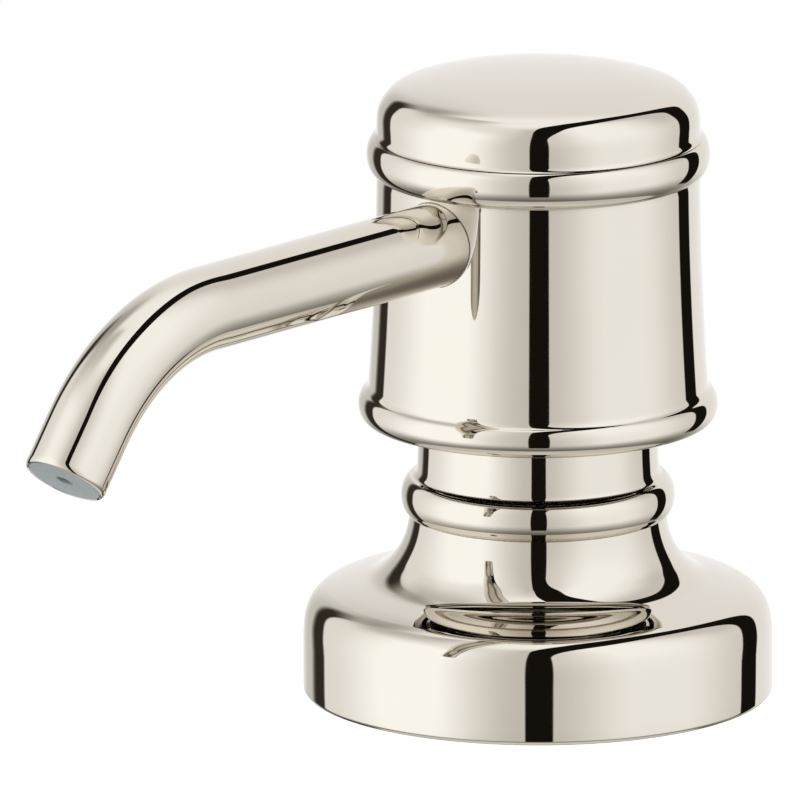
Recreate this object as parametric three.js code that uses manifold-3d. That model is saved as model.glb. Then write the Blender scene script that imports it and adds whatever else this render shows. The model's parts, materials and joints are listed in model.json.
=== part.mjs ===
// Deck-mounted soap pump dispenser, in millimetres.
// +Z is up, the origin is the centre of the deck hole on the deck's top surface, and the spout points
// along -Y. Above the deck stand a flared base, a beaded collar and the pump head with its spout. The
// threaded shank passes through the deck. A nut with two washers clamps it from below, and the bottle
// screws onto its lower end.
import * as THREE from "three";
import { mergeVertices } from "three/addons/utils/BufferGeometryUtils.js";
import Module from "manifold-3d";

const wasm = await Module();
wasm.setup();

// Facets of a turned piece, by how large it is.
const WIDE = 36;
const MEDIUM = 24;
const NARROW = 16;
const GAP = 0.3; // between pieces that bear on each other
const PAST = 1; // how far a cutter runs past the face it cuts

// Driving dimensions.
const DECK = 20; // thickness of the deck between the base and the washers
const base = { radius: 27.13, wallTop: 6.7, topRadius: 14.87, top: 20.85 };
const shank = { radius: 12.6, bore: 10.6, stub: 12.1, flange: 13.6, top: 32.4, bottom: -62 };
const collar = { bead: 15.8, neck: 13.85, bore: 12.4, bottom: 21.1, top: 34.4 };
const barrel = { lip: 31.95, lowBead: 20.75, foot: 19.6, footTop: 36.6, waist: 18.65, waistLow: 61.2 };
const barrelBore = 17;
const upperBead = { radius: 19.8, top: 65.35 };
const ledge = { bore: 13.9, low: 48.2, high: 49.7 };
const cap = { rim: 19.04, bottom: 65.66, radius: 18.66, top: 73.5 };
const spout = { radius: 4.9, bore: 4.4, height: 56.08, tail: 8.2, end: 6.95 };
const bend = { start: 58.85, radius: 26.11, angle: THREE.MathUtils.degToRad(52.2) };
const cylinder = { radius: 7.2, bore: 6, floor: -5, flangeLow: 33.6, flangeHigh: 34.6, tail: -17 };
const stem = { radius: 3.4, bore: 1.6, bottom: 22.5, top: 56.5, chamber: 2.3, seat: 50.6 };
const dipTube = { radius: 3, bore: 2, top: -9, bottom: -182 };
const bottle = { radius: 33, wall: 1.6, neck: 16, neckBore: 12.95, mouth: -44, neckLow: -60, bottom: -190 };

const nickel = new THREE.MeshStandardMaterial({ color: 0xd9d2c4, roughness: 0.04, metalness: 1 });
const brass = new THREE.MeshStandardMaterial({ color: 0xc8a258, roughness: 0.3, metalness: 1 });
const steel = new THREE.MeshStandardMaterial({ color: 0xb9bcc0, roughness: 0.25, metalness: 1 });
const rubber = new THREE.MeshStandardMaterial({ color: 0x1c1c1e, roughness: 0.85, metalness: 0 });
const blackPlastic = new THREE.MeshStandardMaterial({ color: 0x26272a, roughness: 0.45, metalness: 0 });
const whitePlastic = new THREE.MeshStandardMaterial({ color: 0xe9e8e3, roughness: 0.4, metalness: 0 });
const greyPlastic = new THREE.MeshStandardMaterial({ color: 0xa3aaac, roughness: 0.55, metalness: 0 });
const clearPlastic = new THREE.MeshStandardMaterial({ color: 0xe4e6df, roughness: 0.35, metalness: 0 });

const dispenser = new THREE.Group();

function place(name, geometry, material) {
  const mesh = new THREE.Mesh(geometry, material);
  mesh.name = name;
  dispenser.add(mesh);
}

// A solid of revolution about Z. The profile is a list of [radius, height]: it runs up the outside, and
// then back down the inside, or from the axis to the axis.
function turned(profile, facets, closed = true) {
  const points = profile.map(([r, z]) => new THREE.Vector2(r, z));
  if (closed) points.push(points[0].clone());
  return new THREE.LatheGeometry(points, facets).rotateX(Math.PI / 2);
}

function ring(outer, inner, low, high, facets) {
  return turned([[outer, low], [outer, high], [inner, high], [inner, low]], facets);
}

function rod(radius, low, high, facets) {
  return turned([[0, low], [radius, low], [radius, high], [0, high]], facets, false);
}

// Points of a cubic Bezier curve in the profile plane, without its first one.
function bezier(from, fromHandle, toHandle, to, steps) {
  const [a, b, c, d] = [from, fromHandle, toHandle, to].map(([r, z]) => new THREE.Vector2(r, z));
  return new THREE.CubicBezierCurve(a, b, c, d).getPoints(steps).slice(1).map((p) => [p.x, p.y]);
}

// A half-round bead between two heights. first and last are the tilts of its face where it stops, in
// degrees.
function bead(inner, outer, low, high, first, last, steps) {
  const depth = outer - inner;
  const half = (high - low) / 2;
  const points = [];
  for (let i = 0; i <= steps; i++) {
    const tilt = THREE.MathUtils.degToRad(THREE.MathUtils.lerp(first, last, i / steps));
    const [out, up] = [depth * Math.cos(tilt), half * Math.sin(tilt)];
    const reach = Math.hypot(out, up);
    points.push([inner + (depth * out) / reach, low + half + (half * up) / reach]);
  }
  return points;
}

// A smooth curve between two points, given the tilt of the face at each, in degrees. It leaves out its
// first point.
function blendArc(from, fromTilt, to, toTilt, steps) {
  const reach = Math.hypot(to[0] - from[0], to[1] - from[1]) * 0.38;
  const handle = ([r, z], tilt, length) => {
    const angle = THREE.MathUtils.degToRad(tilt);
    return [r - Math.sin(angle) * length, z + Math.cos(angle) * length];
  };
  return bezier(from, handle(from, fromTilt, reach), handle(to, toTilt, -reach), to, steps);
}

function solid(geometry) {
  const plain = geometry.clone();
  plain.deleteAttribute("normal");
  plain.deleteAttribute("uv");
  const merged = mergeVertices(plain, 1e-4);
  const vertProperties = merged.attributes.position.array;
  const triVerts = new Uint32Array(merged.index.array);
  return new wasm.Manifold(new wasm.Mesh({ numProp: 3, vertProperties, triVerts }));
}

function geometryOf(manifold) {
  const mesh = manifold.getMesh();
  return new THREE.BufferGeometry()
    .setAttribute("position", new THREE.BufferAttribute(mesh.vertProperties, 3))
    .setIndex(new THREE.BufferAttribute(mesh.triVerts, 1));
}

// A rod lying along -Y at the spout's height, from one distance to another.
function spoutwardRod(radius, from, to, facets) {
  return rod(radius, from, to, facets).rotateX(Math.PI / 2).translate(0, 0, spout.height);
}

// The wall that the head barrel has at a height: it flares in one long curve from the waist down to the foot.
function barrelRadius(z) {
  const share = Math.max(0, (barrel.waistLow - z) / (barrel.waistLow - barrel.footTop));
  return barrel.waist + (barrel.foot - barrel.waist) * share ** 1.7;
}

// ---- Fixed above the deck ----

function makeBase() {
  const chamfer = 0.25;
  const wallTop = [base.radius, base.wallTop];
  const shoulder = [24.2, 12.13];
  const foot = [20.6, 13.22];
  const knee = [18.9, 13.89];
  const waist = [16.75, 15.75];
  const outline = [
    [base.radius - chamfer, 0],
    [base.radius, chamfer],
    wallTop,
    ...bezier(wallTop, [base.radius, base.wallTop + 3.3], [26.17, 11.41], shoulder, 6),
    foot,
    ...blendArc(foot, 74, knee, 58, 2),
    ...blendArc(knee, 58, waist, 41, 3),
    ...bezier(waist, [16.09, 16.5], [14.98, 18.4], [base.topRadius, base.top], 5),
  ];
  const bore = shank.radius + GAP;
  const hollow = [
    [bore, base.top],
    [bore, 17.5],
    [14, 14.5],
    [17.5, 12],
    [22.3, 9.9],
    [24.4, 7.5],
    [24.4, 0],
  ];
  place("escutcheon_base", turned([...outline, ...hollow], WIDE), nickel);
}

function makeCollar() {
  const ringBead = bead(14.2, collar.bead, 20.68, 25.58, -40, 55, 8);
  const groove = [14.45, 25.5];
  const neckFoot = [13.95, 26.6];
  const outline = [
    [14.88, collar.bottom],
    ...ringBead,
    groove,
    ...blendArc(groove, 68, neckFoot, 4, 3),
    [collar.neck, 29.5],
    [collar.neck, collar.top - 0.4],
    [collar.neck - 0.4, collar.top],
  ];
  const flangeTop = 23.2;
  const seat = shank.flange + GAP / 2;
  const inside = [
    [collar.bore, collar.top],
    [collar.bore, flangeTop],
    [seat, flangeTop],
    [seat, collar.bottom],
  ];
  place("neck_collar", turned([...outline, ...inside], WIDE), nickel);
}

function makeShank() {
  const chamfer = 0.8;
  const flangeLow = collar.bottom;
  const flangeHigh = 22.9;
  const outline = [
    [shank.radius - chamfer, shank.bottom],
    [shank.radius, shank.bottom + chamfer],
    [shank.radius, flangeLow],
    [shank.flange, flangeLow],
    [shank.flange, flangeHigh],
    [shank.stub, flangeHigh],
    [shank.stub, shank.top],
    [shank.bore, shank.top],
    [shank.bore, shank.bottom],
  ];
  place("threaded_shank", turned(outline, WIDE), brass);
}

// ---- The pump insert, which lifts out of the shank ----

function makePumpInsert() {
  place("closure_gasket", ring(12, shank.bore, 32.55, 33.45, MEDIUM), rubber);

  const c = cylinder;
  const floorThickness = 1.8;
  const seat = 1.4;
  const body = [
    [5, c.tail],
    [5, c.floor - floorThickness - 2],
    [c.radius, c.floor - floorThickness],
    [c.radius, c.flangeLow],
    [11.9, c.flangeLow],
    [11.9, c.flangeHigh],
    [c.bore, c.flangeHigh],
    [c.bore, c.floor],
    [seat + 0.9, c.floor],
    [seat, c.floor - 0.9],
    [seat, dipTube.top + GAP],
    [dipTube.radius + GAP / 2, dipTube.top + GAP],
    [dipTube.radius + GAP / 2, c.tail],
  ];
  place("pump_cylinder", turned(body, MEDIUM), whitePlastic);

  const closureLow = c.flangeHigh + 0.15;
  const closure = [
    [12.2, closureLow],
    [13.3, closureLow],
    [13.3, 36],
    [5.4, 36],
    [5.4, 36.5],
    [stem.radius + GAP, 36.5],
    [stem.radius + GAP, closureLow],
  ];
  place("pump_closure", turned(closure, MEDIUM), whitePlastic);

  place("stem_bushing", ring(c.bore - 0.15, stem.radius + 0.15, 30.4, c.flangeHigh, NARROW), greyPlastic);
  place("dip_tube", ring(dipTube.radius, dipTube.bore, dipTube.bottom, dipTube.top, NARROW), clearPlastic);
}

// A cup over the inlet ball, with three windows that let the soap past.
function makeBallCage() {
  const low = cylinder.floor + 0.1;
  const high = low + 7;
  const under = high - 1.2;
  const profile = [[4, low], [4, high], [1.5, high], [1.5, under], [3, under], [3, low]];
  const cup = solid(turned(profile, NARROW));
  const windows = [0, 1, 2].map((i) => {
    const window = new THREE.BoxGeometry(4, 1.8, 3.2).translate(3.5, 0, low + 3.4);
    return solid(window.rotateZ(Math.PI / 2 + (i * 2 * Math.PI) / 3));
  });
  place("ball_cage", geometryOf(windows.reduce((left, window) => left.subtract(window), cup)), whitePlastic);
}

function makeBall(name, radius, height) {
  const ball = new THREE.SphereGeometry(radius, 12, 8).rotateX(Math.PI / 2).translate(0, 0, height);
  place(name, ball, steel);
}

class Helix extends THREE.Curve {
  constructor(radius, low, high, turns) {
    super();
    Object.assign(this, { radius, low, high, turns });
  }

  getPoint(t, target = new THREE.Vector3()) {
    const angle = t * this.turns * 2 * Math.PI;
    const height = THREE.MathUtils.lerp(this.low, this.high, t);
    return target.set(this.radius * Math.cos(angle), this.radius * Math.sin(angle), height);
  }
}

function circle(radius, sides) {
  const points = [];
  for (let i = 0; i < sides; i++) {
    const angle = (i * 2 * Math.PI) / sides;
    points.push(new THREE.Vector2(radius * Math.cos(angle), radius * Math.sin(angle)));
  }
  return new THREE.Shape(points);
}

function makeSpring() {
  const wire = 0.45;
  const turns = 8;
  const path = new Helix(4.95, cylinder.floor + 0.1 + wire, stem.bottom - 0.1 - wire, turns);
  const geometry = new THREE.ExtrudeGeometry(circle(wire, 4), {
    steps: turns * 12,
    bevelEnabled: false,
    extrudePath: path,
  });
  place("return_spring", geometry, steel);
}

// ---- The plunger, which slides in the cylinder ----

function makePlunger() {
  const tube = [
    [stem.radius, stem.bottom + 0.5],
    [stem.radius, stem.top],
    [stem.chamber, stem.top],
    [stem.chamber, stem.seat],
    [stem.bore, stem.seat - 0.7],
    [stem.bore, stem.bottom + 0.5],
  ];
  place("piston_stem", turned(tube, NARROW), whitePlastic);

  const inner = stem.radius + 0.15;
  const outer = cylinder.bore - 0.2;
  const seal = [
    [4.6, stem.bottom],
    [outer, stem.bottom + 0.6],
    [outer, stem.bottom + 1.8],
    [4.7, stem.bottom + 2.6],
    [4.7, stem.bottom + 4.6],
    [outer, stem.bottom + 5.4],
    [outer, stem.bottom + 6.6],
    [4.6, stem.bottom + 7.2],
    [inner, stem.bottom + 7.2],
    [inner, stem.bottom],
  ];
  place("piston_seal", turned(seal, NARROW), rubber);
}

// ---- The head, which swivels on the stem ----

function makeBarrel() {
  const wall = [];
  const steps = 6;
  for (let i = 0; i <= steps; i++) {
    const z = THREE.MathUtils.lerp(barrel.footTop, barrel.waistLow, i / steps);
    wall.push([barrelRadius(z), z]);
  }
  const outline = [
    [18.7, barrel.lip],
    ...bead(19.55, barrel.lowBead, 32.2, 35.76, -80, 55, 7),
    ...wall,
    ...bead(barrel.waist, upperBead.radius, 61.4, 65.65, -62, 60, 7),
    [barrel.waist, upperBead.top],
  ];
  const inside = [
    [barrelBore, upperBead.top],
    [barrelBore, ledge.high],
    [ledge.bore, ledge.high],
    [ledge.bore, ledge.low],
    [barrelBore, ledge.low - 1],
    [barrelBore, barrel.lip],
  ];
  let shell = solid(turned([...outline, ...inside], WIDE));
  shell = shell.subtract(solid(spoutwardRod(spout.radius + 0.2, 10, barrel.lowBead, WIDE)));
  for (const [x, y] of screwPlaces()) {
    const hole = rod(1.1, ledge.low - PAST, ledge.high + PAST, NARROW).translate(x, y, 0);
    shell = shell.subtract(solid(hole));
  }
  place("head_barrel", geometryOf(shell), nickel);
}

function makeCap() {
  const side = [cap.radius, 66.9];
  const shoulder = [17.8, 70.05];
  const crown = [14.6, 71.88];
  const outline = [
    [0, cap.top - 2.3],
    [12.5, 69.4],
    [15.4, 66.95],
    [15.4, 62.9],
    [barrelBore - GAP, 62.9],
    [barrelBore - GAP, cap.bottom],
    [cap.rim, cap.bottom],
    side,
    ...blendArc(side, 0, shoulder, 42, 4),
    ...blendArc(shoulder, 42, crown, 71.5, 5),
    ...bezier(crown, [10.6, 73.05], [5, cap.top], [0, cap.top], 5),
  ];
  place("head_cap", turned(outline, WIDE, false), nickel);
}

// The three core screws stand on a circle on the ledge, clear of the spout.
function screwPlaces() {
  const circleRadius = 15.2;
  return [90, 210, 330].map((degrees) => {
    const angle = THREE.MathUtils.degToRad(degrees);
    return [circleRadius * Math.cos(angle), circleRadius * Math.sin(angle)];
  });
}

const core = { low: 50, plateTop: 51.4, high: 62.2, hub: 6.4, boss: 6.05, plate: 16.6, channel: 1.7 };

// The moulded core carries the soap from the stem to the spout: a plate, a hub with the stem's socket, and
// a boss.
function makeCore() {
  const socket = stem.radius + 0.15;
  const passageHeight = stem.top + GAP;
  const screwHole = rod(1.15, core.low - PAST, core.plateTop + PAST, NARROW);
  let body = solid(rod(core.plate, core.low, core.plateTop, MEDIUM))
    .add(solid(rod(core.hub, core.low, core.high, MEDIUM)))
    .add(solid(spoutwardRod(core.boss, 0, 15.8, MEDIUM)));
  const cuts = [
    rod(socket, core.low - PAST, passageHeight, NARROW),
    spoutwardRod(spout.radius + 0.15, spout.tail - 1.2, barrelBore, MEDIUM),
    spoutwardRod(core.channel, 0, spout.tail, NARROW),
    ...screwPlaces().map(([x, y]) => screwHole.clone().translate(x, y, 0)),
  ];
  for (const cut of cuts) body = body.subtract(solid(cut));
  place("head_core", geometryOf(body), whitePlastic);
}

function makeScrews() {
  const headLow = core.plateTop + 0.1;
  screwPlaces().forEach(([x, y], i) => {
    const profile = [
      [0, ledge.low + 0.4],
      [0.9, ledge.low + 0.4],
      [0.9, headLow],
      [1.7, headLow],
      [1.7, headLow + 0.8],
      [1.1, headLow + 1.3],
      [0, headLow + 1.3],
    ];
    place(`core_screw_${i + 1}`, turned(profile, 12, false).translate(x, y, 0), steel);
  });
}

// The spout's centre line from a distance out of the axis: straight, then round the bend, then straight to
// the tip.
function spoutPath(from, endTrim = 0) {
  const at = (distance, z) => new THREE.Vector3(0, -distance, z);
  const bendPoint = (share) => at(
    bend.start + bend.radius * Math.sin(share * bend.angle),
    spout.height - bend.radius * (1 - Math.cos(share * bend.angle)),
  );
  const onward = at(Math.cos(bend.angle), -Math.sin(bend.angle)).multiplyScalar(spout.end - endTrim);
  const path = new THREE.CurvePath();
  path.add(new THREE.LineCurve3(at(from, spout.height), bendPoint(0)));
  const bendSteps = 10;
  for (let i = 0; i < bendSteps; i++) {
    path.add(new THREE.LineCurve3(bendPoint(i / bendSteps), bendPoint((i + 1) / bendSteps)));
  }
  path.add(new THREE.LineCurve3(bendPoint(1), bendPoint(1).add(onward)));
  return path;
}

// The last stretch of the spout's centre line, for what sits inside its mouth.
function spoutEnd(length) {
  const tip = spoutPath(spout.tail).getPoint(1);
  const back = new THREE.Vector3(0, Math.cos(bend.angle), Math.sin(bend.angle)).multiplyScalar(length);
  return new THREE.LineCurve3(tip.clone().add(back), tip);
}

function tube(outer, inner, sides, path, steps) {
  const shape = circle(outer, sides);
  shape.holes.push(circle(inner, sides));
  return new THREE.ExtrudeGeometry(shape, { steps, bevelEnabled: false, extrudePath: path });
}

function makeSpout() {
  place("spout_tube", tube(spout.radius, spout.bore, 16, spoutPath(spout.tail), 20), nickel);
  const nozzleLength = 5;
  const nozzle = tube(spout.bore - 0.1, 1.1, 16, spoutEnd(nozzleLength), 1);
  place("nozzle_insert", nozzle, greyPlastic);
  const liner = tube(2.5, 1.6, 8, spoutPath(spout.tail + 1.2, nozzleLength + GAP), 16);
  place("spout_liner", liner, clearPlastic);
  const seal = ring(4.7, 2, spout.tail - 1, spout.tail - 0.15, NARROW);
  place("spout_seal", seal.rotateX(Math.PI / 2).translate(0, 0, spout.height), rubber);
}

// ---- Below the deck ----

function makeClamp() {
  const nutBore = shank.radius + 0.4;
  const rubberTop = -DECK;
  const rubberLow = rubberTop - 2.4;
  const steelTop = rubberLow - 0.1;
  const steelLow = steelTop - 1.2;
  place("base_gasket", ring(24.1, 14.2, 0, 2, WIDE), rubber);
  place("mounting_washer", ring(21.5, nutBore, rubberLow, rubberTop, MEDIUM), rubber);
  place("backing_washer", ring(21, nutBore, steelLow, steelTop, MEDIUM), steel);

  const nutTop = steelTop - 1.3;
  const nutLow = nutTop - 12;
  const rim = solid(ring(20, nutBore, nutTop - 2.5, nutTop, WIDE));
  let nut = rim.add(solid(ring(16, nutBore, nutLow, nutTop, WIDE)));
  const wings = 6;
  for (let i = 0; i < wings; i++) {
    const wing = new THREE.BoxGeometry(6, 3, 11).translate(17.4, 0, nutLow + 5.8);
    nut = nut.add(solid(wing.rotateZ((i * 2 * Math.PI) / wings)));
  }
  place("mounting_nut", geometryOf(nut), blackPlastic);
}

function makeBottle() {
  const b = bottle;
  const shoulderTop = b.neckLow - 3;
  const shoulderLow = shoulderTop - 18;
  const curve = 14;
  const foot = 5;
  const shoulder = [b.radius, shoulderLow];
  const neck = [b.neck, shoulderTop];
  const outer = [
    [0, b.bottom],
    [b.radius - foot, b.bottom],
    [b.radius, b.bottom + foot],
    shoulder,
    ...bezier(shoulder, [b.radius, shoulderLow + curve], [b.neck, shoulderTop - 4], neck, 4),
    [b.neck, b.mouth],
  ];
  const innerRadius = b.radius - b.wall;
  const innerFloor = b.bottom + b.wall;
  const inner = [
    [b.neckBore, b.mouth],
    [b.neckBore, shoulderTop],
    ...bezier(
      [b.neckBore, shoulderTop],
      [b.neckBore, shoulderTop - 5.6],
      [innerRadius, shoulderLow + curve - b.wall],
      [innerRadius, shoulderLow],
      4,
    ),
    [innerRadius, b.bottom + foot],
    [innerRadius - foot + b.wall, innerFloor],
    [0, innerFloor],
  ];
  place("bottle", turned([...outer, ...inner], MEDIUM, false), clearPlastic);
  place("bottle_gasket", ring(12.6, 10.9, shank.bottom - 2.1, shank.bottom - 0.3, MEDIUM), rubber);
}

makeBase();
makeCollar();
makeShank();
makePumpInsert();
makeBallCage();
makeBall("inlet_ball", 2, cylinder.floor + 1.25);
makeBall("outlet_ball", 1.9, stem.seat + 1.05);
makeSpring();
makePlunger();
makeBarrel();
makeCap();
makeCore();
makeScrews();
makeSpout();
makeClamp();
makeBottle();

export default dispenser;
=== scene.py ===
"""Looks of a deck-mounted soap pump dispenser in polished nickel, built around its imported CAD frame.

The frame is the CAD one: the origin is the centre of the deck hole on the deck's top surface, +Z is up,
and the spout points along -Y. Outlines are written in millimetres as [radius, height] and become metres in
the mesh.
"""
import json
import math

import bmesh
import bpy
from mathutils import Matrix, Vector


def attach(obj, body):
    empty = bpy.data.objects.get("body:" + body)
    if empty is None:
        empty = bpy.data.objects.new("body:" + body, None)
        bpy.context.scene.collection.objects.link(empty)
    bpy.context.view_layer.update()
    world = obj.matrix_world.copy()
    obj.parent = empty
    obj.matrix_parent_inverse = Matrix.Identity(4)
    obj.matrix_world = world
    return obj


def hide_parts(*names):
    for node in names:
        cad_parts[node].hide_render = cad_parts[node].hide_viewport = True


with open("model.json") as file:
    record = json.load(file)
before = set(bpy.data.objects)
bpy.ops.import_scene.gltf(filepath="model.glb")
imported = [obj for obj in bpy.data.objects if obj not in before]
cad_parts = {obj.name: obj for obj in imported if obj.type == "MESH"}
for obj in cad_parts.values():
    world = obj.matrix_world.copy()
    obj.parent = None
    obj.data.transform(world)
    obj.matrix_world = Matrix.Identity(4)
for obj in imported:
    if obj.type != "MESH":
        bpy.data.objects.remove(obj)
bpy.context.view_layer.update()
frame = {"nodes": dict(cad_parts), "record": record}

MM = 0.001
AROUND = 192  # facets round a visible turned piece
INNER = 96  # facets round a piece that only shows when the pump is taken apart


# ---- Camera ----

CAMERA_AZIMUTH = math.radians(40.22)
CAMERA_ELEVATION = math.radians(13.87)
CAMERA_DISTANCE = 4.28
LENS_MM = 1670.7
# The camera looks at the middle of what stands above the deck, spout included.
VIEW_HEIGHT = 35 * MM
VIEW_LEFT = 15.97 * MM
VIEW_DOWN = 0.74 * MM

OUTWARD = Vector((math.sin(CAMERA_AZIMUTH), -math.cos(CAMERA_AZIMUTH), 0))
RIGHT = Vector((math.cos(CAMERA_AZIMUTH), math.sin(CAMERA_AZIMUTH), 0))


def make_camera():
    back = OUTWARD * math.cos(CAMERA_ELEVATION) + Vector((0, 0, math.sin(CAMERA_ELEVATION)))
    up = back.cross(RIGHT)
    target = Vector((0, 0, VIEW_HEIGHT)) - RIGHT * VIEW_LEFT - up * VIEW_DOWN
    data = bpy.data.cameras.new("camera")
    data.sensor_width = 36
    data.lens = LENS_MM
    data.clip_start = 0.1
    data.clip_end = 50
    camera = bpy.data.objects.new("camera", data)
    camera.location = target + back * CAMERA_DISTANCE
    camera.rotation_mode = "QUATERNION"
    camera.rotation_quaternion = back.to_track_quat("Z", "Y")
    bpy.context.scene.collection.objects.link(camera)
    bpy.context.scene.camera = camera


# ---- Shader arithmetic ----

class Field:
    """A number that varies over a shader. Arithmetic on it adds the math nodes."""

    def __init__(self, tree, socket):
        self.tree = tree
        self.socket = socket

    def math(self, operation, *others):
        node = self.tree.nodes.new("ShaderNodeMath")
        node.operation = operation
        for slot, value in enumerate((self, *others)):
            if isinstance(value, Field):
                self.tree.links.new(value.socket, node.inputs[slot])
            else:
                node.inputs[slot].default_value = value
        return Field(self.tree, node.outputs[0])

    def __add__(self, other):
        return self.math("ADD", other)

    def __sub__(self, other):
        return self.math("SUBTRACT", other)

    def __mul__(self, other):
        return self.math("MULTIPLY", other)

    def __truediv__(self, other):
        return self.math("DIVIDE", other)

    def inverse(self):
        return (self * -1) + 1

    def rise(self, low, high):
        """0 below low, 1 above high, and a smooth step between them."""
        node = self.tree.nodes.new("ShaderNodeMapRange")
        node.interpolation_type = "SMOOTHSTEP"
        node.inputs["From Min"].default_value = low
        node.inputs["From Max"].default_value = high
        self.tree.links.new(self.socket, node.inputs["Value"])
        return Field(self.tree, node.outputs["Result"])

    def fall(self, low, high):
        return self.rise(low, high).inverse()


def color_ramp(tree, field, stops):
    node = tree.nodes.new("ShaderNodeValToRGB")
    elements = node.color_ramp.elements
    while len(elements) < len(stops):
        elements.new(1)
    for element, (position, color) in zip(elements, stops):
        element.position = position
        element.color = (*color, 1)
    tree.links.new(field.socket, node.inputs["Fac"])
    return node.outputs["Color"]


# ---- Studio: what the polished metal reflects ----
# Directions are given as a bearing in degrees from the camera, positive to the picture's right, and a height
# in degrees above the horizon. Tones are display values from 0 to 1.

def studio_direction(tree):
    coordinates = tree.nodes.new("ShaderNodeTexCoord")

    def along(axis):
        dot = tree.nodes.new("ShaderNodeVectorMath")
        dot.operation = "DOT_PRODUCT"
        dot.inputs[1].default_value = axis
        tree.links.new(coordinates.outputs["Generated"], dot.inputs[0])
        return Field(tree, dot.outputs["Value"])

    bearing = along(RIGHT).math("ARCTAN2", along(OUTWARD)).math("DEGREES")
    height = along((0, 0, 1)).math("ARCSINE").math("DEGREES")
    return bearing, height


def rounded_panel(across, upward, left, right, top, corner):
    """Distance outside a panel that stands on the horizon and has round top corners, negative within it."""
    middle = (left + right) / 2
    beyond_side = (across - middle).math("ABSOLUTE") - ((right - left) / 2 - corner)
    beyond_top = upward - (top - corner)
    out_side = beyond_side.math("MAXIMUM", 0)
    out_top = beyond_top.math("MAXIMUM", 0)
    outside = (out_side * out_side + out_top * out_top).math("SQRT")
    within = beyond_side.math("MAXIMUM", beyond_top).math("MINIMUM", 0)
    return outside + within - corner


def studio_tone(tree):
    """Tone in every direction."""
    bearing, height = studio_direction(tree)

    # Right: a large softbox in a black frame. Its far side leans outwards.
    centre = 66
    upright_again = height.rise(55, 75).math("MULTIPLY_ADD", -0.6, 1)
    lean = height.rise(-5, 45) * bearing.rise(60, 115) * upright_again * 12
    turn = (bearing - lean - centre).math("RADIANS")
    facing = turn.math("COSINE").math("MAXIMUM", 0.02)
    across = turn.math("SINE") / facing
    upward = height.math("RADIANS").math("TANGENT") / facing
    panel = rounded_panel(across, upward, -1.645, 1.35, 2.75, 1.2)
    outline = rounded_panel(across, upward, -3.13, 2.69, 8.5, 2.2)
    in_front = turn.math("COSINE").rise(0.02, 0.04)
    frame_black = panel.rise(-0.03, 0.04) * outline.fall(-0.1, 0.1) * in_front
    softbox = bearing.rise(5, 50) * 0.155 - bearing.rise(75, 122) * 0.125 + height.rise(-10, 40) * 0.045
    softbox = softbox - bearing.rise(98, 122) * height.rise(12, 34) * 0.07 + 0.73

    # Left: a gentler panel, brightest well to the side.
    left = bearing.fall(-60, -8) * 0.262 - bearing.fall(-128, -72) * 0.155 + 0.72
    left = left - height.rise(38, 62) * bearing.fall(-60, -20) * 0.13 + height.rise(66, 90) * 0.14

    # Behind: pale walls, with a soft dark strip at the left and a cloud over it.
    behind = height.rise(42, 66) * 0.08 + 0.83
    behind_left = height.rise(42, 62) * 0.2 + 0.7
    strip_lean = height.rise(-5, 30) * -10
    strip_at = bearing - strip_lean
    strip = strip_at.rise(-149, -140) * strip_at.fall(-132, -129) * height.fall(22, 40)
    cloud = bearing.rise(-172, -148) * bearing.fall(-140, -95) * height.rise(28, 44) * height.fall(42, 60)

    def blend(first, second, share):
        return first * share.inverse() + second * share

    tone = blend(left, softbox, bearing.rise(-4, 4))
    tone = blend(tone, behind, outline.rise(-0.05, 0.05) * bearing.rise(90, 100))
    tone = blend(tone, behind, height.rise(64, 82))
    tone = blend(tone, behind_left, bearing.fall(-146, -132))
    tone = blend(tone, behind, bearing.fall(-176, -154))
    tone = tone - cloud * 0.13
    tone = blend(tone, tone * 0.05 + 0.1, strip)

    # Below the horizon everything fades towards the far floor, and the floor near the object is lit again.
    tone = tone * (height.rise(-48, -13) * 0.52 + 0.48)
    black = tone * 0 + 0.035
    tone = blend(tone, black, frame_black * height.rise(-31, -27))
    near_floor = height.rise(-90, -47) * -0.08 + 0.78
    return blend(near_floor, tone, height.rise(-50, -46))


def make_studio():
    world = bpy.data.worlds.new("studio")
    bpy.context.scene.world = world
    world.use_nodes = True
    tree = world.node_tree
    tree.nodes.clear()
    output = tree.nodes.new("ShaderNodeOutputWorld")
    reflected = tree.nodes.new("ShaderNodeBackground")
    backdrop = tree.nodes.new("ShaderNodeBackground")
    backdrop.inputs["Color"].default_value = (1, 1, 1, 1)
    mix = tree.nodes.new("ShaderNodeMixShader")
    path = tree.nodes.new("ShaderNodeLightPath")
    # Display tone to light: dark tones are a little warmer than bright ones.
    stops = [
        (0, (0, 0, 0)),
        (0.2, (0.053, 0.046, 0.036)),
        (0.35, (0.162, 0.15, 0.135)),
        (0.51, (0.342, 0.334, 0.314)),
        (0.67, (0.624, 0.616, 0.588)),
        (0.83, (1.009, 1.007, 1.009)),
        (0.96, (1.342, 1.383, 1.403)),
    ]
    light = color_ramp(tree, studio_tone(tree), stops)
    tree.links.new(light, reflected.inputs["Color"])
    tree.links.new(path.outputs["Is Camera Ray"], mix.inputs["Fac"])
    tree.links.new(reflected.outputs[0], mix.inputs[1])
    tree.links.new(backdrop.outputs[0], mix.inputs[2])
    tree.links.new(mix.outputs[0], output.inputs["Surface"])


# ---- Materials ----

def new_material(name, color, roughness, metallic=0.0):
    material = bpy.data.materials.new(name)
    material.use_nodes = True
    shader = material.node_tree.nodes["Principled BSDF"]
    shader.inputs["Base Color"].default_value = (*color, 1)
    shader.inputs["Roughness"].default_value = roughness
    shader.inputs["Metallic"].default_value = metallic
    return material


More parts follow.
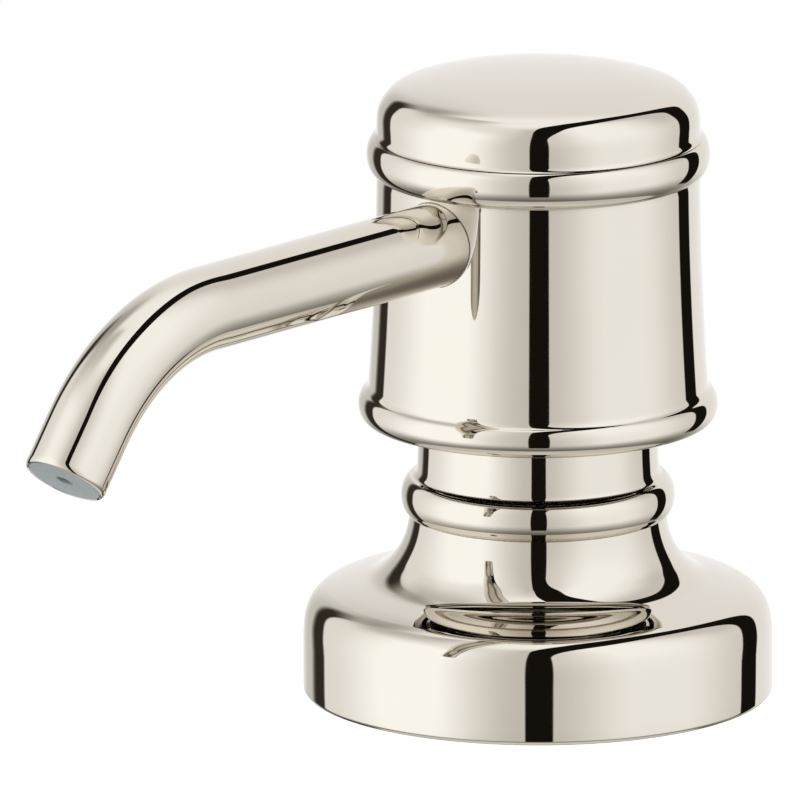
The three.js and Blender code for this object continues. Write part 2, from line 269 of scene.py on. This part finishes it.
def object_coordinates(tree, stretch=(1, 1, 1)):
    coordinates = tree.nodes.new("ShaderNodeTexCoord")
    mapping = tree.nodes.new("ShaderNodeMapping")
    mapping.inputs["Scale"].default_value = stretch
    tree.links.new(coordinates.outputs["Object"], mapping.inputs["Vector"])
    return mapping.outputs["Vector"]


def noise(tree, scale, detail=3.0, stretch=(1, 1, 1)):
    node = tree.nodes.new("ShaderNodeTexNoise")
    node.inputs["Scale"].default_value = scale
    node.inputs["Detail"].default_value = detail
    tree.links.new(object_coordinates(tree, stretch), node.inputs["Vector"])
    return Field(tree, node.outputs["Fac"])


def vary_color(material, field, dark, light):
    """Moves the colour between two shades as the field goes from 0.35 to 0.65."""
    tree = material.node_tree
    color = color_ramp(tree, field, [(0.35, dark), (0.65, light)])
    tree.links.new(color, tree.nodes["Principled BSDF"].inputs["Base Color"])


def vary_roughness(material, field, low, high):
    tree = material.node_tree
    roughness = field.rise(0.3, 0.7) * (high - low) + low
    tree.links.new(roughness.socket, tree.nodes["Principled BSDF"].inputs["Roughness"])


def add_bump(material, field, height, strength=1.0):
    tree = material.node_tree
    bump = tree.nodes.new("ShaderNodeBump")
    bump.inputs["Strength"].default_value = strength
    bump.inputs["Distance"].default_value = height
    tree.links.new(field.socket, bump.inputs["Height"])
    tree.links.new(bump.outputs["Normal"], tree.nodes["Principled BSDF"].inputs["Normal"])


def polished_nickel():
    """Mirror plate, with a hint of polishing haze and of uneven tone."""
    material = new_material("polished_nickel", (0.7, 0.655, 0.58), 0.03, 1)
    tree = material.node_tree
    vary_color(material, noise(tree, 60), (0.693, 0.648, 0.572), (0.705, 0.66, 0.586))
    vary_roughness(material, noise(tree, 240, 5), 0.012, 0.035)
    return material


def turned_metal(name, color, dark, roughness):
    """Metal cut on a lathe: fine rings round the axis, and a slightly mottled tone."""
    material = new_material(name, color, roughness, 1)
    tree = material.node_tree
    rings = noise(tree, 300, 4, stretch=(0.05, 0.05, 12))
    vary_color(material, noise(tree, 90), dark, color)
    vary_roughness(material, rings, roughness * 0.7, roughness * 1.4)
    add_bump(material, rings, 0.00002, 0.5)
    return material


def molded(name, color, dark, roughness, grain, depth):
    """Plastic or rubber from a mould: an even colour with a fine grain."""
    material = new_material(name, color, roughness)
    tree = material.node_tree
    fine = noise(tree, grain, 4)
    vary_color(material, noise(tree, grain / 12), dark, color)
    vary_roughness(material, fine, roughness * 0.85, min(1, roughness * 1.15))
    add_bump(material, fine, depth, 0.6)
    return material


def polyethylene():
    """Milky bottle plastic with a smooth skin."""
    material = molded("natural_polyethylene", (0.89, 0.89, 0.86), (0.83, 0.83, 0.8), 0.3, 150, 0.00001)
    material.node_tree.nodes["Principled BSDF"].inputs["Coat Weight"].default_value = 0.3
    return material


def dull_plating():
    """Very dark plating for the inside of the casting: its real unpolished finish, made much darker as
    painted shade for the hollow.
    """
    material = new_material("dull_plating", (0.16, 0.14, 0.12), 0.6, 1)
    vary_color(material, noise(material.node_tree, 120), (0.1, 0.088, 0.075), (0.2, 0.178, 0.15))
    add_bump(material, noise(material.node_tree, 900, 4), 0.0001, 0.6)
    return material


def bright_deck():
    """The deck's white top, lit as brightly as the backdrop behind it."""
    material = new_material("deck", (0.6, 0.6, 0.6), 0.6)
    shader = material.node_tree.nodes["Principled BSDF"]
    shader.inputs["Emission Color"].default_value = (1, 1, 1, 1)
    shader.inputs["Emission Strength"].default_value = 0.85
    return material


MATERIALS = {
    "polished_nickel": polished_nickel(),
    # Dark enough to stand in for the shade in the head's hollow: partly painted shade.
    "dull_plating": dull_plating(),
    "brass_thread": turned_metal("brass_thread", (0.78, 0.6, 0.31), (0.68, 0.5, 0.25), 0.24),
    "stainless": turned_metal("stainless", (0.68, 0.68, 0.69), (0.58, 0.58, 0.6), 0.26),
    "black_rubber": molded("black_rubber", (0.03, 0.03, 0.031), (0.018, 0.018, 0.019), 0.78, 900, 0.00005),
    "black_nylon": molded("black_nylon", (0.035, 0.036, 0.04), (0.024, 0.025, 0.028), 0.42, 1400, 0.00003),
    "white_plastic": molded("white_plastic", (0.84, 0.84, 0.81), (0.79, 0.79, 0.76), 0.38, 800, 0.00002),
    "grey_plastic": molded("grey_plastic", (0.4, 0.44, 0.45), (0.37, 0.41, 0.42), 0.5, 900, 0.00002),
    "natural_polyethylene": polyethylene(),
    "deck": bright_deck(),
}


# ---- Outlines, in millimetres ----

def bezier(start, start_handle, end_handle, end, steps):
    """Points of a cubic Bezier curve, without its first one."""
    points = []
    for i in range(1, steps + 1):
        t = i / steps
        weights = ((1 - t) ** 3, 3 * (1 - t) ** 2 * t, 3 * (1 - t) * t * t, t ** 3)
        corners = (start, start_handle, end_handle, end)
        points.append([sum(w * p[k] for w, p in zip(weights, corners)) for k in (0, 1)])
    return points


def bead(inner, outer, low, high, first, last, steps=40):
    """A half-round bead between two heights. first and last are the tilts of its face where it stops, in
    degrees."""
    depth = outer - inner
    half = (high - low) / 2
    points = []
    for i in range(steps + 1):
        tilt = math.radians(first + (last - first) * i / steps)
        reach = math.hypot(depth * math.cos(tilt), half * math.sin(tilt))
        out = depth * depth * math.cos(tilt) / reach
        up = half * half * math.sin(tilt) / reach
        points.append([inner + out, low + half + up])
    return points


def blend_arc(start, start_tilt, end, end_tilt, steps=12):
    """A smooth curve between two points, given the tilt of the face at each, in degrees. Leaves out the
    start."""
    handle = math.dist(start, end) * 0.38

    def beyond(point, tilt, distance):
        angle = math.radians(tilt)
        return [point[0] - math.sin(angle) * distance, point[1] + math.cos(angle) * distance]

    start_handle = beyond(start, start_tilt, handle)
    end_handle = beyond(end, end_tilt, -handle)
    return bezier(start, start_handle, end_handle, end, steps)


def smoothed(points, passes):
    """Evens out the bends along a line of points. Its ends stay where they are."""
    for _ in range(passes):
        inner = [
            [(before[k] + 2 * here[k] + after[k]) / 4 for k in (0, 1)]
            for before, here, after in zip(points, points[1:], points[2:])
        ]
        points = [points[0], *inner, points[-1]]
    return points


def rounded(corners, steps=6):
    """An outline with round corners. Each corner is [radius, height, how far back its rounding starts]."""
    points = []
    count = len(corners)
    for i, (r, z, cut) in enumerate(corners):
        here = Vector((r, z))
        if not cut:
            points.append([r, z])
            continue
        before = Vector(corners[i - 1][:2])
        after = Vector(corners[(i + 1) % count][:2])
        start = here + (before - here).normalized() * cut
        end = here + (after - here).normalized() * cut
        for k in range(steps + 1):
            t = k / steps
            point = start * (1 - t) ** 2 + here * 2 * t * (1 - t) + end * t * t
            points.append([point.x, point.y])
    return points


# ---- Meshes ----

def make_object(name, vertices, faces, body, material, replaced):
    mesh = bpy.data.meshes.new(name)
    mesh.from_pydata(vertices, [], faces)
    mesh.validate()
    build = bmesh.new()
    build.from_mesh(mesh)
    bmesh.ops.remove_doubles(build, verts=build.verts, dist=1e-7)
    bmesh.ops.recalc_face_normals(build, faces=build.faces)
    build.to_mesh(mesh)
    build.free()
    mesh.shade_smooth()
    mesh.set_sharp_from_angle(angle=math.radians(35))
    mesh.materials.append(MATERIALS[material])
    piece = bpy.data.objects.new(name, mesh)
    bpy.context.scene.collection.objects.link(piece)
    if body:
        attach(piece, body)
    if replaced:
        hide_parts(*replaced)
    return piece


def turned(name, outline, body, material, replaced=(), around=AROUND, wobble=None):
    """Turns a closed outline about Z. wobble(angle, radius, height) may move a point in or out, in
    millimetres."""
    vertices = []
    faces = []
    count = len(outline)
    for i in range(around):
        angle = 2 * math.pi * i / around
        for r, z in outline:
            radius = r + wobble(angle, r, z) if wobble else r
            vertices.append((radius * math.cos(angle) * MM, radius * math.sin(angle) * MM, z * MM))
        for k in range(count):
            here = i * count
            there = (i + 1) % around * count
            following = (k + 1) % count
            faces.append((here + k, there + k, there + following, here + following))
    return make_object(name, vertices, faces, body, material, replaced)


def swept(name, outline, path, body, material, replaced=(), around=64):
    """Sweeps a closed outline of [radius, distance along] round a path in the YZ plane. path(distance) gives
    the point and the direction there, and the outline's distances are millimetres from the path's start."""
    vertices = []
    faces = []
    count = len(outline)
    for i in range(around):
        angle = 2 * math.pi * i / around
        for r, distance in outline:
            centre, forward = path(distance)
            side = Vector((1, 0, 0))
            up = side.cross(forward)
            vertices.append((centre + (side * math.cos(angle) + up * math.sin(angle)) * r) * MM)
        for k in range(count):
            here = i * count
            there = (i + 1) % around * count
            following = (k + 1) % count
            faces.append((here + k, there + k, there + following, here + following))
    return make_object(name, vertices, faces, body, material, replaced)


def darken_inside_with_painted_shade(piece, radius):
    """Gives a casting's faces within a radius, in millimetres, the very dark plating: their unpolished
    finish, darkened as painted shade for the hollow inside.
    """
    piece.data.materials.append(MATERIALS["dull_plating"])
    for face in piece.data.polygons:
        if math.hypot(face.center.x, face.center.y) < radius * MM:
            face.material_index = 1


# ---- Fixed above the deck ----

def make_base():
    shoulder = [24.2, 12.13]
    slant = math.radians(20)
    roll = [shoulder[0] + 2.1 * math.cos(slant), shoulder[1] - 2.1 * math.sin(slant)]
    foot = [20.6, 13.2]
    knee = [18.93, 13.82]
    bend = [17.97, 14.5]
    waist = [16.75, 15.75]
    top = [14.87, 21.02]
    flare = [
        shoulder,
        *blend_arc(shoulder, 70, foot, 75, 24),
        *blend_arc(foot, 75, knee, 59.5, 24),
        *blend_arc(knee, 59.5, bend, 50, 16),
        *blend_arc(bend, 50, waist, 41, 16),
        *bezier(waist, [16.09, 16.5], [14.98, 18.4], top, 40),
    ]
    outline = [
        *rounded([[26.3, 0, 0], [26.88, 0, 0.2], [27.13, 0.4, 0.15], [27.13, 2, 0]]),
        *smoothed([[27.13, 6.7], *bezier([27.13, 6.7], [27.13, 10], roll, shoulder, 60)], 30),
        *smoothed(flare, 16)[1:],
        [13.1, 21.02],
        [13.1, 17.5],
        [14, 14.5],
        [17.5, 12],
        [22.3, 9.9],
        [24.4, 7.5],
        [24.4, 0],
    ]
    turned("base_shell", outline, "deck_body", "polished_nickel", ["escutcheon_base"])


def make_collar():
    ring = bead(14.2, 15.8, 20.68, 25.58, -42, 55)
    groove = blend_arc(ring[-1], 55, [14.45, 25.5], 68, 10)
    outline = [
        [14.86, 21.07],
        *blend_arc([14.86, 21.07], -60, ring[0], -42, 10),
        *ring[1:],
        *groove,
        *blend_arc(groove[-1], 68, [13.95, 26.6], 4, 20),
        *bezier([13.95, 26.6], [13.88, 28], [13.85, 29], [13.85, 31], 12),
        *rounded([[13.85, 34.4, 0.4], [12.4, 34.4, 0.2]]),
        [12.4, 23.2],
        [13.75, 23.2],
        [13.75, 21.07],
    ]
    turned("neck_and_ring", outline, "deck_body", "polished_nickel", ["neck_collar"])


# ---- The head ----

WAIST = [18.65, 61.1]
FOOT = [19.6, 36]


def barrel_radius(z):
    """The barrel flares in one long curve from its waist down to its foot."""
    share = max(0, (WAIST[1] - z) / (WAIST[1] - FOOT[1]))
    return WAIST[0] + (FOOT[0] - WAIST[0]) * share ** 1.7


def make_barrel():
    lower = bead(19.55, 20.75, 32.2, 35.76, -80, 55)
    upper = bead(18.65, 19.8, 61.4, 65.65, -62, 60)
    bore = 17
    wall_low = 36.6
    wall_high = 61.2
    steps = 40
    wall = [wall_low + (wall_high - wall_low) * i / steps for i in range(1, steps + 1)]
    outline = [
        *rounded([[bore, 31.95, 0.2], [18.7, 31.95, 0.15]]),
        [18.85, 32.12],
        *lower,
        *blend_arc(lower[-1], 55, [barrel_radius(wall_low), wall_low], 3, 16),
        *[[barrel_radius(z), z] for z in wall],
        *blend_arc([barrel_radius(wall_high), wall_high], 0, upper[0], -62, 10),
        *upper[1:],
        [18.7, 65.58],
        [bore, 65.5],
        [bore, 49.7],
        [13.9, 49.7],
        [13.9, 48.2],
        [bore, 47.2],
    ]
    shell = turned("head_shell", outline, "head", "polished_nickel", ["head_barrel"])
    # The bore and the inner step get the very dark plating: painted shade for the hollow inside the head.
    darken_inside_with_painted_shade(shell, bore + 0.2)


def make_cap():
    rim = [19.04, 65.66]
    foot = [18.66, 66.45]
    side = [18.66, 66.9]
    shoulder = [17.8, 70.05]
    brow = [16.8, 71.05]
    crown = [14.6, 71.88]
    dome = [
        side,
        *blend_arc(side, 0, shoulder, 42, 24),
        *blend_arc(shoulder, 42, brow, 57, 16),
        *blend_arc(brow, 57, crown, 71.5, 16),
        *bezier(crown, [10.6, 73.05], [5, 73.5], [0, 73.5], 48),
    ]
    outline = [
        [18.8, 65.62],
        rim,
        *blend_arc(rim, 58, foot, 0, 14),
        *smoothed(dome, 30),
        [0, 71.2],
        [12.5, 69.4],
        [15.4, 66.95],
        [15.4, 62.9],
        [16.7, 62.9],
        [16.7, 65.62],
    ]
    turned("head_dome", outline, "head", "polished_nickel", ["head_cap"])


SPOUT_HEIGHT = 56.08
SPOUT_TAIL = 8.2
BEND_START = 58.85
BEND_RADIUS = 26.11
BEND_ANGLE = math.radians(52.2)
SPOUT_END = 6.95
SPOUT_LENGTH = BEND_START - SPOUT_TAIL + BEND_RADIUS * BEND_ANGLE + SPOUT_END


def spout_path(distance):
    """The spout's centre line: straight out along -Y, round the bend, and straight on down to the mouth."""
    along = distance + SPOUT_TAIL
    if along <= BEND_START:
        return Vector((0, -along, SPOUT_HEIGHT)), Vector((0, -1, 0))
    turn = min((along - BEND_START) / BEND_RADIUS, BEND_ANGLE)
    forward = Vector((0, -math.cos(turn), -math.sin(turn)))
    bend_y = -BEND_START - BEND_RADIUS * math.sin(turn)
    bend_z = SPOUT_HEIGHT - BEND_RADIUS * (1 - math.cos(turn))
    past = max(along - BEND_START - BEND_RADIUS * BEND_ANGLE, 0)
    return Vector((0, bend_y, bend_z)) + forward * past, forward


def make_spout():
    outer = 4.893
    inner = 4.45
    steps = 96
    end = SPOUT_LENGTH
    last = end - 0.8
    outside = [[outer, last * i / steps] for i in range(steps + 1)]
    lip = bezier([outer, last], [outer, end - 0.2], [outer - 0.2, end], [inner + 0.1, end], 10)
    inside = [[inner, (end - 0.1) * (1 - i / steps)] for i in range(steps + 1)]
    swept("spout_pipe", outside + lip + inside, spout_path, "head", "polished_nickel", ["spout_tube"])

    nozzle = [
        [4.4, end - 5],
        [4.4, end - 0.12],
        [4.3, end - 0.02],
        [1.2, end - 0.02],
        [1, end - 0.15],
        [1, end - 5],
    ]
    swept("nozzle_plug", nozzle, spout_path, "head", "grey_plastic", ["nozzle_insert"])


def make_spout_shadow_line():
    """A painted shadow: a thin dark tube, in the black rubber material, along the hairline where the spout
    goes through the barrel's wall, standing in for the shade in that gap.
    """
    hairline = 0.035
    hairline_sides = 6
    reach = 4.95
    around = 160
    vertices = []
    faces = []
    for i in range(around):
        angle = 2 * math.pi * i / around
        for k in range(hairline_sides):
            turn = 2 * math.pi * k / hairline_sides
            r = reach + hairline * math.cos(turn)
            x, z = r * math.sin(angle), SPOUT_HEIGHT + r * math.cos(angle)
            y = -math.sqrt(barrel_radius(z) ** 2 - x * x) - hairline * math.sin(turn)
            vertices.append((x * MM, y * MM, z * MM))
            here = i * hairline_sides
            there = (i + 1) % around * hairline_sides
            following = (k + 1) % hairline_sides
            faces.append((here + k, here + following, there + following, there + k))
    # Black rubber here is painted shade for the gap round the spout, not a real rubber part.
    make_object("spout_shadow_line", vertices, faces, "head", "black_rubber", None)


# ---- The pump insert ----

def make_insert():
    cylinder = [
        [5, -17, 0.4],
        [5, -8.8, 0.8],
        [7.2, -6.8, 0.6],
        [7.2, 33.6, 0.5],
        [11.9, 33.6, 0.3],
        [11.9, 34.6, 0.3],
        [6, 34.6, 0.3],
        [6, -5, 0.6],
        [2.3, -5, 0.1],
        [1.4, -5.9, 0.1],
        [1.4, -8.7, 0],
        [3.15, -8.7, 0],
        [3.15, -17, 0.3],
    ]
    turned("cylinder_body", rounded(cylinder), "pump_insert", "white_plastic", ["pump_cylinder"], INNER)

    closure = [
        [13.3, 34.75, 0.2],
        [13.3, 36, 0.35],
        [5.4, 36, 0.15],
        [5.4, 36.5, 0.15],
        [3.7, 36.5, 0.1],
        [3.7, 34.75, 0.1],
    ]
    turned("closure_cap", rounded(closure), "pump_insert", "white_plastic", ["pump_closure"], INNER)

    suction = rounded([[3, -182, 0.3], [3, -9, 0.2], [2, -9, 0.2], [2, -182, 0.3]])
    turned("suction_tube", suction, "pump_insert", "natural_polyethylene", ["dip_tube"], INNER)

    stem = [
        [3.4, 23, 0.2],
        [3.4, 56.5, 0.3],
        [2.3, 56.5, 0.2],
        [2.3, 50.6, 0.1],
        [1.6, 49.9, 0.1],
        [1.6, 23, 0.1],
    ]
    turned("stem_tube", rounded(stem), "plunger", "white_plastic", ["piston_stem"], INNER)


# ---- Below the deck ----

PITCH = 2.0


def thread_height(angle, z, depth):
    """Depth of a right-hand thread's groove at a point, between 0 on the crest and -depth in the root."""
    phase = (z / PITCH - angle / (2 * math.pi)) % 1
    flank = min(max(abs(phase - 0.5) * 4 - 0.5, 0), 1)
    return -depth * (1 - flank)


def make_shank():
    crest = 12.6
    depth = 0.75
    low = -62
    high = 17
    steps = 316
    wall = [[crest, low + (high - low) * i / steps] for i in range(steps + 1)]

    def wobble(angle, r, z):
        if r < crest or z <= low + 0.3 or z >= high - 0.3:
            return 0 if r < crest else -depth
        fade = min(1, (z - low) / 2.5, (high - z) / 2.5)
        return thread_height(angle, z, depth) * fade - depth * (1 - fade)

    outline = [
        *wall,
        [12.6, 21.1],
        [13.6, 21.1],
        [13.6, 22.9],
        [12.1, 22.9],
        [12.1, 32.4],
        [10.6, 32.4],
        [10.6, low],
    ]
    turned("shank_thread", outline, "deck_body", "brass_thread", ["threaded_shank"], INNER, wobble)


def make_clamp():
    gasket = rounded([[24.1, 0, 0.3], [24.1, 2, 0.3], [14.2, 2, 0.3], [14.2, 0, 0.3]])
    turned("base_seal", gasket, "deck_body", "black_rubber", ["base_gasket"])
    rubber = rounded([[21.5, -22.4, 0.5], [21.5, -20, 0.5], [13, -20, 0.3], [13, -22.4, 0.3]])
    turned("rubber_washer", rubber, "clamp_washers", "black_rubber", ["mounting_washer"])
    steel = rounded([[21, -23.7, 0.25], [21, -22.5, 0.25], [13, -22.5, 0.2], [13, -23.7, 0.2]])
    turned("steel_washer", steel, "clamp_washers", "stainless", ["backing_washer"])


def make_bottle():
    grip_ribs = 36
    rib_depth = 0.45

    def ribs(angle, r, z):
        on_neck = 15.3 < r <= 16 and -58.5 < z < -45
        return -rib_depth * (0.5 + 0.5 * math.cos(grip_ribs * angle)) if on_neck else 0

    outer = [
        [0, -187],
        *bezier([0, -187], [10, -187], [18, -187.4], [22, -189.4], 10),
        *rounded([[24, -190, 0.6], [29, -190, 0]]),
        *bezier([29, -190], [31.5, -190], [33, -188.5], [33, -185.5], 12),
        *bezier([33, -81], [33, -67], [16, -67], [16, -63], 28),
        [16, -59],
        *[[16, -58.5 + 13.5 * i / 24] for i in range(25)],
        *rounded([[16, -44, 0.5], [12.95, -44, 0.4]]),
    ]
    inner = [
        [12.95, -63],
        *bezier([12.95, -63], [12.95, -68.6], [31.4, -68.6], [31.4, -81], 24),
        *bezier([31.4, -185], [31.4, -187.2], [30, -188.4], [28, -188.4], 8),
        [22, -188.2],
        *bezier([22, -188.2], [18, -185.8], [10, -185.4], [0, -185.4], 8),
    ]
    around = grip_ribs * 4
    turned("bottle_shell", outer + inner, "bottle", "natural_polyethylene", ["bottle"], around, ribs)


# ---- Everything else keeps its CAD shape ----

CAD_MATERIALS = {part["node"]: part["material_slot"] for part in frame["record"]["subparts"]}


def finish_cad_nodes():
    for name, node in frame["nodes"].items():
        node.data.materials.clear()
        node.data.materials.append(MATERIALS[CAD_MATERIALS[name]])


# ---- Stage ----

def make_deck():
    """A round piece of pale deck, clamped as the real one is."""
    outline = rounded([[85, -19.6, 1], [85, -0.05, 1], [17.5, -0.05, 0], [17.5, -19.6, 0]])
    deck = turned("deck_slab", outline, None, "deck")
    deck.visible_glossy = False


make_camera()
make_studio()
make_base()
make_collar()
make_barrel()
make_cap()
make_spout()
make_spout_shadow_line()
make_insert()
make_shank()
make_clamp()
make_bottle()
finish_cad_nodes()
make_deck()

bpy.context.scene.view_settings.view_transform = "Standard"
